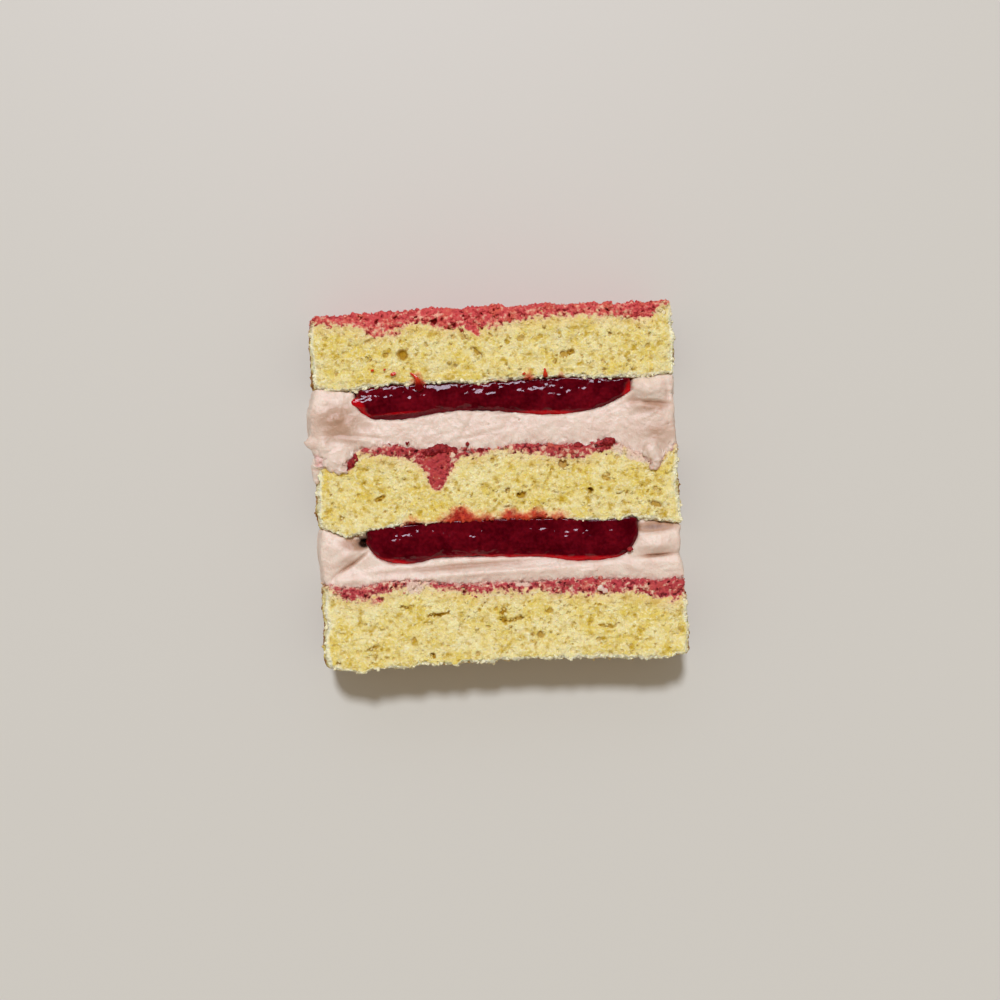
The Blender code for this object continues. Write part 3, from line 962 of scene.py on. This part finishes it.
def upper_smears():
    """Cream dragged down over the middle sponge, and the peak that the knife pulled at the left."""
    top = FACE + 0.1
    balls = [((-45.6, 10.2, top), (3.6, 3.4, 1.3), 0), ((-44.2, 7.8, top), (2.0, 2.0, 1.1), 20)]
    balls += trail([(-49.0, 14.0, 26.5), (-52.2, 14.5, 26.5), (-54.0, 15.0, 26.2)], (3.0, 1.6, 0.8))
    balls += trail([(-49.5, 11.0, 26.5), (-51.6, 8.0, 26.0), (-51.6, 4.0, 25.5)], (2.0, 1.5, 0.9))
    balls += trail([(43.0, 8.0, top), (44.6, 5.4, top), (43.6, 3.4, top)], (2.0, 1.5, 1.0), 0.8)
    return balls


def lower_smears():
    """A crumb of cream on the lowest sponge."""
    top = FACE + 0.4
    return trail([(26.8, -30.0, top), (28.2, -30.6, top)], (1.0, 0.8), 0.8)


# Each band of cream: its level, its folds, the smears melted into it, the soaked layer below it and
# how rough it is
CREAMS = [
    ("upper", UPPER_FOLDS, upper_smears, "soaked_crumb_middle", 1.0),
    ("lower", LOWER_FOLDS, lower_smears, "soaked_crumb_bottom", 0.55),
]


def make_creams():
    """The two bands of cream between the sponges."""
    material = cream_finish()
    for level, folds, smears, soak, rough in CREAMS:
        piece = copy_of(f"cream_{level}", f"{level}_cream")
        melt_in(piece, smears())
        even_out(piece, CREAM_VOXEL, 2)
        divide(piece, 2, lambda normal, centre: on_cut_face(normal, centre) or on_end(normal, centre))
        soften(piece, 4)
        cream_relief(piece, folds, f"jam_{level}", soak, rough)
        dress(piece, f"cream_{level}", material)


# Where the jam doesn't stand up along the sponge above it: centre and radii
BRIM_GAP = ((-24.5, -13.0), (6.0, 4.0))

# Wet jam: the size and height of its swells and its lumps, how far its brim leans up the cake, and
# how deep its thin film lies
JAM_SWELLS = (4.2, 0.40)
JAM_LUMPS = (1.9, 0.32)
BRIM_LEAN = 0.4
FILM_DEPTH = 0.4

# Dull thin jam on the cream: centre, radii, turn and share
THIN_JAM = [
    ((-26.0, 20.4), (12.0, 1.4), 3, 1.2),
    ((31.0, 20.0), (6.0, 0.9), 12, 0.8),
    ((-27.0, -19.0), (7.0, 1.6), -12, 1.0),
]

# Where the jam is thin and its red shows bright: centre, radii, turn and how much further in
CLEAR_JAM = [
    ((-38.5, 24.0), (2.8, 2.6), 0, 3.0),
    ((-27.0, 22.0), (9.0, 0.6), 2, 2.6),
    ((-20.0, 19.6), (15.0, 0.6), 5, 0.5),
    ((14.0, 19.4), (8.0, 1.4), -2, 2.8),
    ((38.5, 24.5), (2.2, 2.8), 30, 3.0),
    ((-20.0, 29.0), (2.5, 1.4), 0, 8.0),
    ((-30.0, -20.0), (6.0, 1.2), -15, 1.6),
    ((22.0, -21.9), (14.0, 1.3), -3, 2.4),
    ((-4.0, -20.2), (15.0, 1.0), -2, 1.7),
]


def jam_relief(piece, sponge, cream, brim):
    """Soft swells in the jam, which stands higher by its brim along the sponge above it."""
    relief = Relief(piece.name)
    place = relief.place
    near_cream = relief.distance(cream)
    swells = relief.noise(place, JAM_SWELLS[0], 1.0) * JAM_SWELLS[1]
    lumps = relief.noise(place, JAM_LUMPS[0], 2.5) * JAM_LUMPS[1]
    up = relief.facing_up(0.2, 0.8)
    ragged = relief.noise(place, 3.0, 2.0)
    film = relief.bells(THIN_JAM) * up * relief.ease(near_cream + ragged * 0.8, 2.4, 1.2)
    relief.store("near_cream", near_cream)
    relief.store("film", film)
    brim = up * relief.ease(relief.distance(sponge), 3.0, 0.4) * brim
    brim = brim * (1.0 - relief.bell(relief.x, relief.y, *BRIM_GAP, 0.8))
    rise = relief.join(0.0, brim * BRIM_LEAN, brim - film * FILM_DEPTH)
    relief.move(relief.normal * (swells + lumps + WET_SWELL) + rise)
    relief.rest_on_floor()
    relief.apply_to(piece)


# Jam: its darkest and its lightest body, its dull film, and where light comes through
JAM = (rgb(68, 0, 10), rgb(122, 14, 28))
JAM_FILM = rgb(102, 24, 34)
JAM_CLEAR = rgb(188, 12, 22)


def jam_finish():
    """Wet dark red jam, bright red where it is thin."""
    finish = Finish(
        "jam", 0.07, Specular_IOR_Level=0.30,
        Subsurface_Weight=0.2, Subsurface_Scale=0.002, Subsurface_Radius=(1.0, 0.1, 0.1),
    )
    place = finish.place
    cloud = finish.noise(place, 5.0, 2.0) + finish.noise(place, 1.0, 2.0) * 0.7
    body = finish.fade(cloud, -0.8, 1.2, *JAM)
    film = finish.mix(finish.stored("film") * 0.8, body, JAM_FILM)
    near = finish.stored("near_cream") + finish.noise(place, 2.5, 2.0) * 0.5
    clear = finish.ease(near + 0.5 - finish.bells(CLEAR_JAM), 1.4, -0.6)
    finish.paint(finish.mix(clear, film, JAM_CLEAR))
    return finish.material


# The tongue of jam at the left end of the upper one: its line and its radii
TONGUE = ([(-35.5, 25.0, 25.5), (-39.6, 25.4, 26.6)], (2.4, 1.2))

# Each jam: its level, the sponge above it and how high its brim stands
JAMS = [
    ("upper", "sponge_top", 0.9),
    ("lower", "sponge_middle", 1.5),
]


def make_jams():
    """The two jams between cream and sponge."""
    material = jam_finish()
    for level, sponge, brim in JAMS:
        piece = copy_of(f"jam_{level}", f"{level}_jam")
        if level == "upper":
            melt_in(piece, trail(*TONGUE))
        even_out(piece, JAM_VOXEL, 5)
        divide(piece, 1, on_cut_face)
        soften(piece, 4)
        jam_relief(piece, sponge, f"cream_{level}", brim)
        dress(piece, f"jam_{level}", material)


def lump(name, balls, voxel, rounds):
    """Small soft pieces that overlapping balls melt into."""
    piece = bpy.data.objects.new(name, bpy.data.meshes.new(name))
    bpy.context.scene.collection.objects.link(piece)
    melt_in(piece, balls)
    even_out(piece, voxel, rounds)
    return piece


def lump_relief(piece, size, height, fine):
    """Bends a lump at one size and, less, at a finer one."""
    relief = Relief(piece.name)
    relief.move(relief.drifts(relief.place, ((size, height), (size * 0.4, fine))))
    relief.apply_to(piece)


# The long bit of berry and the small ones: place with the height over their level, radii and turn
BERRY_LEVEL = FACE - 0.2
LONG_BERRY = ([(-20.6, 10.2), (-16.4, 11.2), (-12.0, 10.6)], (0.8, 1.5, 0.8), 0.45)
BERRY_BITS = [
    ((-48.1, 10.3, 0.6), (1.0, 0.7, 0.5), 20),
    ((-46.6, 9.9, 0.8), (0.6, 0.8, 0.4), 0),
    ((-41.4, 8.3, 0.0), (1.1, 1.6, 0.6), -25),
    ((-40.2, 9.8, 0.0), (0.8, 1.1, 0.6), 0),
    ((31.3, 10.8, 0.3), (1.8, 1.3, 0.8), 0),
    ((29.0, 10.0, 0.0), (0.8, 0.7, 0.5), 0),
    ((-25.3, 13.2, 0.0), (0.8, 0.4, 0.5), 10),
    ((-30.2, 13.4, 0.0), (0.4, 0.35, 0.5), 0),
    ((-5.0, 10.0, 0.0), (1.3, 0.7, 0.5), 15),
    ((-8.5, 12.2, 0.0), (0.5, 0.5, 0.5), 0),
    ((22.5, 10.2, 0.0), (1.4, 0.8, 0.5), -20),
    ((35.8, -20.0, 0.0), (0.8, 0.8, 0.6), 0),
]


def make_berry_bits():
    """Dark bits of raspberry between the cream and the sponges below it."""
    line, radii, flatness = LONG_BERRY
    balls = trail([(x, y, BERRY_LEVEL) for x, y in line], radii, flatness)
    balls += [((x, y, BERRY_LEVEL + z), sizes, turn) for (x, y, z), sizes, turn in BERRY_BITS]
    piece = lump("berry_bits", balls, BERRY_VOXEL, 1)
    lump_relief(piece, 1.2, 0.50, 0.35)
    dress(piece, None, berry_finish())


# Berry flesh, and the dark root and the light tip of the drips
BERRY = (rgb(116, 10, 18), rgb(184, 54, 56))
DRIP = (rgb(112, 4, 14), rgb(206, 62, 34))


def berry_finish():
    """Soaked berry flesh, duller than the jam."""
    finish = Finish(
        "berry", 0.55, Specular_IOR_Level=0.15, Subsurface_Weight=0.2, Subsurface_Scale=0.002
    )
    tone = finish.ease(finish.noise(finish.place, 0.9, 2.0), -0.5, 0.8)
    finish.paint(finish.mix(tone, *BERRY))
    finish.bump(finish.noise(finish.place, 0.5, 2.0), 0.6, 0.2)
    return finish.material


# Jam on the upper sponge: the lines, radii and flatness of the horn and the small streak, with the
# height over their level, and the place and radius of each drop
DRIP_LEVEL = FACE + 0.4
HORN = (
    [(-21.2, 28.9, -0.8), (-21.3, 30.3, 0.0), (-22.0, 31.7, 0.0), (-23.3, 32.8, 0.0)],
    (1.4, 0.80, 0.50, 0.30),
    0.7,
)
STREAK = ([(14.5, 30.2, 0.0), (14.4, 32.0, 0.0)], (0.7, 0.35), 0.8)
DROPS = [(-34.0, 34.2, 0.4), (-30.6, 34.2, 0.3), (-28.2, 32.8, 0.6), (8.5, 31.0, 0.4)]


def drip_trail(line, radii, flatness):
    """A trail of jam at the level of the drips."""
    return trail([(x, y, DRIP_LEVEL + z) for x, y, z in line], radii, flatness)


def make_jam_drips():
    """The horn of jam on the upper sponge and the specks beside it."""
    balls = drip_trail(*HORN)
    for x, y, radius in DROPS:
        balls.append(((x, y, DRIP_LEVEL), (radius * 1.5, radius, radius), 20))
    balls += drip_trail(*STREAK)
    piece = lump("jam_drips", balls, DRIP_VOXEL, 1)
    lump_relief(piece, 1.2, 0.15, 0.08)
    dress(piece, None, drip_finish())


def drip_finish():
    """Jam so thin that light turns it orange-red."""
    finish = Finish(
        "thin_jam", 0.10,
        Subsurface_Weight=0.4, Subsurface_Scale=0.002, Subsurface_Radius=(1.0, 0.25, 0.1),
    )
    finish.paint(finish.fade(finish.y, 29.0, 31.4, *DRIP))
    return finish.material


# The floor's width in metres and its colour, and the light that comes from all round
FLOOR_WIDTH = 3.0
FLOOR_COLOUR = rgb(212, 208, 203)
SKY_COLOUR = (1.0, 0.885, 0.70, 1.0)
SKY_STRENGTH = 0.39

# The key light: its strength, its width in degrees, its colour and which way it shines
SUN_STRENGTH = 2.22
SUN_WIDTH = 7.0
SUN_COLOUR = (0.88, 0.93, 0.98)
SUN_WAY = (0.03, -0.45, -1.0)

# The window behind the slice, which only shows as highlights
WINDOW_PLACE = (-60, 560, 560)
WINDOW_SIZE = (520, 300)
WINDOW_POWER = 8.5
WINDOW_COLOUR = (0.86, 0.82, 1.0)


def make_floor():
    """The table, which isn't part of the slice."""
    bpy.ops.mesh.primitive_plane_add(size=FLOOR_WIDTH, location=(0, 0, 0))
    floor = bpy.context.object
    floor.name = "floor"
    floor.data.materials.append(Finish("floor", 0.6, Base_Color=FLOOR_COLOUR).material)


def light_sky():
    """Warm light from all round, which wet surfaces don't mirror."""
    scene = bpy.context.scene
    scene.view_settings.view_transform = "Standard"
    world = bpy.data.worlds.new("world")
    scene.world = world
    world.use_nodes = True
    background = world.node_tree.nodes["Background"]
    background.inputs["Color"].default_value = SKY_COLOUR
    background.inputs["Strength"].default_value = SKY_STRENGTH
    world.cycles_visibility.glossy = False


def light_sun():
    """The soft key light that casts the shadow below the slice."""
    bpy.ops.object.light_add(type="SUN")
    sun = bpy.context.object
    sun.name = "key"
    sun.data.energy = SUN_STRENGTH
    sun.data.angle = math.radians(SUN_WIDTH)
    sun.data.color = SUN_COLOUR
    sun.rotation_euler = Vector(SUN_WAY).to_track_quat("-Z", "Y").to_euler()
    sun.visible_glossy = False


def light_window():
    """The window that makes the highlights on the jam."""
    bpy.ops.object.light_add(type="AREA", location=[c * MM for c in WINDOW_PLACE])
    window = bpy.context.object
    window.name = "window"
    window.data.shape = "RECTANGLE"
    window.data.size = WINDOW_SIZE[0] * MM
    window.data.size_y = WINDOW_SIZE[1] * MM
    window.data.energy = WINDOW_POWER
    window.data.color = WINDOW_COLOUR
    window.rotation_euler = (-window.location).to_track_quat("-Z", "Y").to_euler()
    window.visible_diffuse = False


def place_camera():
    """The view of the photograph."""
    data = bpy.data.cameras.new("camera")
    camera = bpy.data.objects.new("camera", data)
    bpy.context.scene.collection.objects.link(camera)
    data.sensor_width = SENSOR
    data.lens = SENSOR * (CAMERA_HEIGHT - FACE) / VIEW_WIDTH
    camera.location = (VIEW_CENTRE[0] * MM, VIEW_CENTRE[1] * MM, CAMERA_HEIGHT * MM)
    camera.rotation_euler = (0, 0, math.radians(-VIEW_TURN))
    bpy.context.scene.camera = camera


make_sponge("top", "jam_upper", None, 11)
make_sponge("middle", "jam_lower", "cream_upper", 21)
make_sponge("bottom", "jam_lower", "cream_lower", 31)
make_creams()
make_jams()
make_berry_bits()
make_jam_drips()
make_floor()
light_sky()
light_sun()
light_window()
place_camera()
